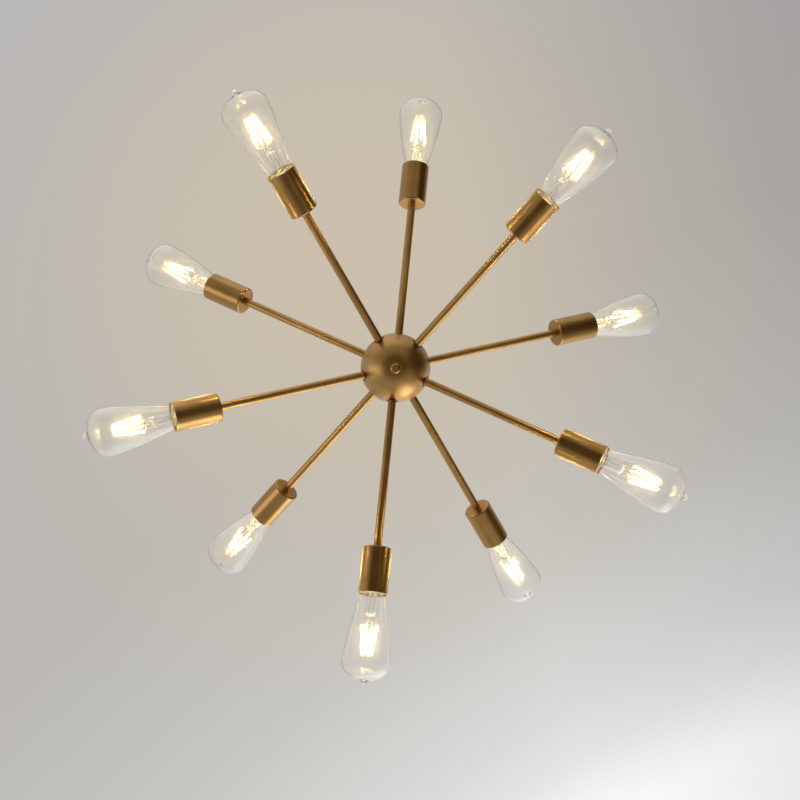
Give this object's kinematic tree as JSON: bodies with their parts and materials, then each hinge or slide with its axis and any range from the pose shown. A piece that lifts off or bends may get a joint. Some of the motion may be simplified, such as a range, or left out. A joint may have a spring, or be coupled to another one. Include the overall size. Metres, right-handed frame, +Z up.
{
  "type": "sputnik chandelier",
  "caption": "Rod-hung brass ball with two tiers of radial tube arms, each ending in a lamp cup with a clear teardrop bulb; its stem turns and tilts in the ceiling canopy.",
  "frame": {"origin": "centre of the ceiling bracket's top face, on the ceiling", "axes": "+Z up into the ceiling, along the stem; +Y over the first lower arm; +X along the bracket and the swivel's pin"},
  "size_m": [0.7722, 0.8118, 0.8989],
  "materials": {
    "satin_brass": "satin, brushed along the arms",
    "zinc_plated_steel": "zinc plated",
    "clear_glass": "clear, polished",
    "nickel_cap": "satin nickel",
    "porcelain": "glazed",
    "lead_insulation": "heat-proof sleeve",
    "connector_plastic": "moulded"
  },
  "bodies": {
    "ceiling_canopy": {"ceiling_bracket": "zinc_plated_steel", "canopy_studs": "zinc_plated_steel", "canopy": "satin_brass", "canopy_cap_nuts": "satin_brass"},
    "swivel": {"swivel_yoke": "satin_brass", "swivel_lock_nut": "zinc_plated_steel", "swivel_pin": "zinc_plated_steel"},
    "chandelier": {"swivel_knuckle": "satin_brass", "upper_rod": "satin_brass", "rod_coupling": "satin_brass", "lower_rod": "satin_brass", "ball_stud": "satin_brass", "ball_upper_half": "satin_brass", "ball_lower_half": "satin_brass", "bottom_cap_nut": "satin_brass", "arm_lock_nuts": "zinc_plated_steel", "lampholders": "porcelain", "lampholder_liners": "nickel_cap", "lead_wires": "lead_insulation", "wire_connectors": "connector_plastic", "lower_arm_tube_1": "satin_brass", "lower_arm_tube_2": "satin_brass", "lower_arm_tube_3": "satin_brass", "lower_arm_tube_4": "satin_brass", "lower_arm_tube_5": "satin_brass", "upper_arm_tube_1": "satin_brass", "upper_arm_tube_2": "satin_brass", "upper_arm_tube_3": "satin_brass", "upper_arm_tube_4": "satin_brass", "upper_arm_tube_5": "satin_brass", "lower_socket_cup_1": "satin_brass", "lower_socket_cup_2": "satin_brass", "lower_socket_cup_3": "satin_brass", "lower_socket_cup_4": "satin_brass", "lower_socket_cup_5": "satin_brass", "upper_socket_cup_1": "satin_brass", "upper_socket_cup_2": "satin_brass", "upper_socket_cup_3": "satin_brass", "upper_socket_cup_4": "satin_brass", "upper_socket_cup_5": "satin_brass"},
    "lower_bulb_1": {"lower_bulb_glass_1": "clear_glass", "lower_bulb_base_1": "nickel_cap"},
    "lower_bulb_2": {"lower_bulb_glass_2": "clear_glass", "lower_bulb_base_2": "nickel_cap"},
    "lower_bulb_3": {"lower_bulb_glass_3": "clear_glass", "lower_bulb_base_3": "nickel_cap"},
    "lower_bulb_4": {"lower_bulb_glass_4": "clear_glass", "lower_bulb_base_4": "nickel_cap"},
    "lower_bulb_5": {"lower_bulb_glass_5": "clear_glass", "lower_bulb_base_5": "nickel_cap"},
    "upper_bulb_1": {"upper_bulb_glass_1": "clear_glass", "upper_bulb_base_1": "nickel_cap"},
    "upper_bulb_2": {"upper_bulb_glass_2": "clear_glass", "upper_bulb_base_2": "nickel_cap"},
    "upper_bulb_3": {"upper_bulb_glass_3": "clear_glass", "upper_bulb_base_3": "nickel_cap"},
    "upper_bulb_4": {"upper_bulb_glass_4": "clear_glass", "upper_bulb_base_4": "nickel_cap"},
    "upper_bulb_5": {"upper_bulb_glass_5": "clear_glass", "upper_bulb_base_5": "nickel_cap"}
  },
  "joints": [
    {"name": "canopy_turn", "type": "hinge", "parent": "ceiling_canopy", "child": "swivel", "pos_m": [0, 0, -0.025], "axis": [0, 0, 1], "range_deg": [-170, 170]},
    {"name": "stem_tilt", "type": "hinge", "parent": "swivel", "child": "chandelier", "pos_m": [0, 0, -0.043], "axis": [1, 0, 0], "range_deg": [-35, 35]},
    {"name": "lower_bulb_1_out", "type": "slide", "parent": "chandelier", "child": "lower_bulb_1", "axis": [0, 0.9304, -0.3665], "range_m": [0, 0.035]},
    {"name": "lower_bulb_2_out", "type": "slide", "parent": "chandelier", "child": "lower_bulb_2", "axis": [-0.8849, 0.2875, -0.3665], "range_m": [0, 0.035]},
    {"name": "lower_bulb_3_out", "type": "slide", "parent": "chandelier", "child": "lower_bulb_3", "axis": [-0.5469, -0.7527, -0.3665], "range_m": [0, 0.035]},
    {"name": "lower_bulb_4_out", "type": "slide", "parent": "chandelier", "child": "lower_bulb_4", "axis": [0.5469, -0.7527, -0.3665], "range_m": [0, 0.035]},
    {"name": "lower_bulb_5_out", "type": "slide", "parent": "chandelier", "child": "lower_bulb_5", "axis": [0.8849, 0.2875, -0.3665], "range_m": [0, 0.035]},
    {"name": "upper_bulb_1_out", "type": "slide", "parent": "chandelier", "child": "upper_bulb_1", "axis": [-0.5469, 0.7527, 0.3665], "range_m": [0, 0.035]},
    {"name": "upper_bulb_2_out", "type": "slide", "parent": "chandelier", "child": "upper_bulb_2", "axis": [-0.8849, -0.2875, 0.3665], "range_m": [0, 0.035]},
    {"name": "upper_bulb_3_out", "type": "slide", "parent": "chandelier", "child": "upper_bulb_3", "axis": [0, -0.9304, 0.3665], "range_m": [0, 0.035]},
    {"name": "upper_bulb_4_out", "type": "slide", "parent": "chandelier", "child": "upper_bulb_4", "axis": [0.8849, -0.2875, 0.3665], "range_m": [0, 0.035]},
    {"name": "upper_bulb_5_out", "type": "slide", "parent": "chandelier", "child": "upper_bulb_5", "axis": [0.5469, 0.7527, 0.3665], "range_m": [0, 0.035]}
  ]
}
